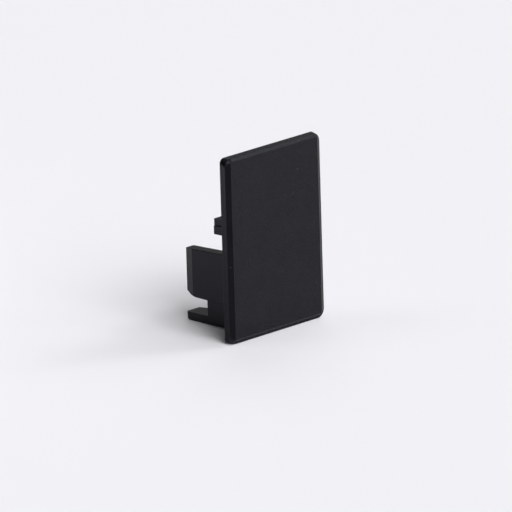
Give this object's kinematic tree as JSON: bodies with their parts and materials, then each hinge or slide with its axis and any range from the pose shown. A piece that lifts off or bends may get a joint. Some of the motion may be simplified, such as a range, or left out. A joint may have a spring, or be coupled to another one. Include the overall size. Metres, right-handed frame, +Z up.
{
  "type": "profile end cap",
  "caption": "Rectangular plug-in end cap for an open profile: a bevelled cover plate with gripping lugs on its back.",
  "frame": {"origin": "the middle of the cover plate's back face, which seats on the profile's end", "axes": "+Y out of the plate's back along the lugs, into the profile; +X across the plate's width; +Z up its height, towards the short upper lugs"},
  "size_m": [0.029, 0.0202, 0.0406],
  "materials": {
    "plastic": "black moulded plastic with a fine matt grain"
  },
  "bodies": {
    "root": {"end_cap": "plastic"}
  },
  "joints": []
}
